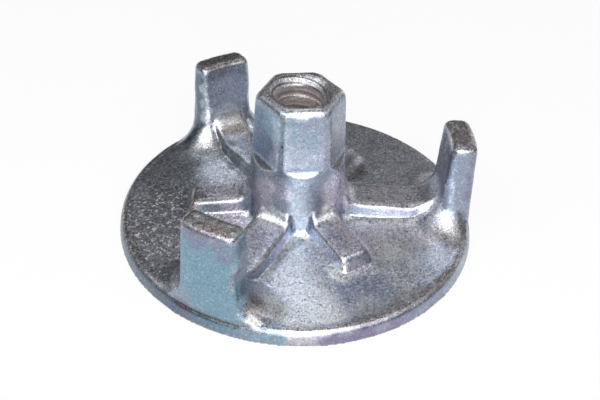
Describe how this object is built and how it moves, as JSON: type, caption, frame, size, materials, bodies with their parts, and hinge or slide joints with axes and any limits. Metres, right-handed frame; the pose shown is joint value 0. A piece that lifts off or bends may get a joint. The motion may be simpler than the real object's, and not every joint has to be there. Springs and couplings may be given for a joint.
{
  "type": "formwork wing nut",
  "caption": "Cast wing nut with a round bearing flange, a hexagon hub with a coarse right-hand tie-rod thread, upright striking lugs and stiffening ribs.",
  "frame": {"origin": "centre of the bore at the flange's underside", "axes": "+Z along the bore, from the bearing face to the hexagon; +X through one lug"},
  "size_m": [0.13, 0.13, 0.056],
  "materials": {
    "zinc_plate": "zinc plating over a grainy cast surface, faintly blue and violet, bare and brownish on raised edges"
  },
  "bodies": {
    "root": {"wing_nut": "zinc_plate"}
  },
  "joints": []
}
